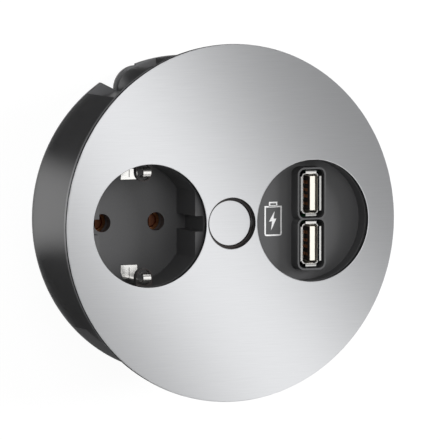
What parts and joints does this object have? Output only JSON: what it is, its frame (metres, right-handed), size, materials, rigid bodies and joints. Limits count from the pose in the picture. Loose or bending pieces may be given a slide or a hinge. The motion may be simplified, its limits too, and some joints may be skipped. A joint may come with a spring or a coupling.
{
  "type": "in-desk power socket",
  "caption": "Round in-desk power socket: a steel cover that turns over a recessed mains outlet and charging ports, a push button, and claws that clamp it in a desk hole.",
  "frame": {"origin": "on the housing's axis in the plane of the desk top, where the flange's underside rests", "axes": "+Z out of the desk, +X from the mains outlet towards the charging ports, +Y square to both"},
  "size_m": [0.116, 0.116, 0.0429],
  "materials": {
    "brushed_steel_sheet": "brushed",
    "moulded_black": "fine moulded grain",
    "moulded_grey": "moulded",
    "moulded_white": "moulded",
    "spring_steel": "plain",
    "zinc_steel": "zinc plated",
    "contact_brass": "bare",
    "nickel_plate": "satin plated",
    "cream_plastic": "moulded",
    "green_board": "solder mask",
    "coil_tape": "tape",
    "ferrite": "sintered",
    "can_aluminium": "sleeved can",
    "brown_insulation": "soft",
    "blue_insulation": "soft",
    "earth_insulation": "soft",
    "bush_rubber": "soft"
  },
  "bodies": {
    "base": {"housing_frame": "moulded_black", "rear_cover": "moulded_black", "socket_insert": "moulded_black", "usb_insert": "moulded_black", "charger_case": "moulded_black", "socket_base": "moulded_grey", "cord_clamp": "moulded_grey", "terminal_block": "moulded_white", "mains_connector": "moulded_white", "button_spring": "spring_steel", "latch_spring_upper": "spring_steel", "latch_spring_lower": "spring_steel", "latch_rivets": "zinc_steel", "rear_cover_screws": "zinc_steel", "socket_base_screws": "zinc_steel", "charger_case_screws": "zinc_steel", "terminal_screws": "zinc_steel", "cord_clamp_screws": "zinc_steel", "line_contact": "contact_brass", "neutral_contact": "contact_brass", "terminal_inserts": "contact_brass", "usb_contacts_upper": "contact_brass", "usb_contacts_lower": "contact_brass", "earth_bracket": "nickel_plate", "usb_shell_upper": "nickel_plate", "usb_shell_lower": "nickel_plate", "usb_tongue_upper": "cream_plastic", "usb_tongue_lower": "cream_plastic", "charger_board": "green_board", "transformer_coil": "coil_tape", "transformer_core": "ferrite", "capacitors": "can_aluminium", "line_wire": "brown_insulation", "charger_line_wire": "brown_insulation", "neutral_wire": "blue_insulation", "charger_neutral_wire": "blue_insulation", "earth_wire": "earth_insulation", "cord_bush": "bush_rubber"},
    "cover": {"cover_plate": "brushed_steel_sheet", "cover_carrier": "moulded_black"},
    "button": {"button_cap": "brushed_steel_sheet", "button_plunger": "moulded_black", "button_clip": "spring_steel", "release_bar": "moulded_black"},
    "upper_screw": {"clamp_screw_upper": "zinc_steel", "screw_clip_upper": "spring_steel"},
    "upper_nut": {"claw_nut_upper": "zinc_steel"},
    "upper_claw": {"claw_upper": "moulded_black"},
    "lower_screw": {"clamp_screw_lower": "zinc_steel", "screw_clip_lower": "spring_steel"},
    "lower_nut": {"claw_nut_lower": "zinc_steel"},
    "lower_claw": {"claw_lower": "moulded_black"}
  },
  "joints": [
    {"name": "cover_turn", "type": "hinge", "parent": "base", "child": "cover", "pos_m": [0, 0, 0], "axis": [0, 0, -1], "range_deg": [0, 90]},
    {"name": "button_press", "type": "slide", "parent": "base", "child": "button", "axis": [0, 0, -1], "range_m": [0, 0.0008], "stiffness_N_per_m": 1500, "springref_m": -0.0006, "deforming": ["button_spring", "latch_spring_upper", "latch_spring_lower"]},
    {"name": "upper_screw_turn", "type": "hinge", "parent": "base", "child": "upper_screw", "pos_m": [-0.01598, 0.04164, 0], "axis": [0, 0, -1], "range_deg": [0, 2700.1]},
    {"name": "upper_nut_climb", "type": "slide", "parent": "base", "child": "upper_nut", "axis": [0, 0, 1], "range_m": [0, 0.015]},
    {"name": "upper_claw_swing", "type": "hinge", "parent": "upper_nut", "child": "upper_claw", "pos_m": [-0.01598, 0.04164, 0], "axis": [0, 0, -1], "range_deg": [0, 82]},
    {"name": "lower_screw_turn", "type": "hinge", "parent": "base", "child": "lower_screw", "pos_m": [0.01598, -0.04164, 0], "axis": [0, 0, -1], "range_deg": [0, 2700.1]},
    {"name": "lower_nut_climb", "type": "slide", "parent": "base", "child": "lower_nut", "axis": [0, 0, 1], "range_m": [0, 0.015]},
    {"name": "lower_claw_swing", "type": "hinge", "parent": "lower_nut", "child": "lower_claw", "pos_m": [0.01598, -0.04164, 0], "axis": [0, 0, -1], "range_deg": [0, 82]}
  ],
  "couplings": [
    {"joint": "upper_screw_turn", "follows": "upper_nut_climb", "rad_per_m": 3141.6},
    {"joint": "lower_screw_turn", "follows": "lower_nut_climb", "rad_per_m": 3141.6}
  ]
}
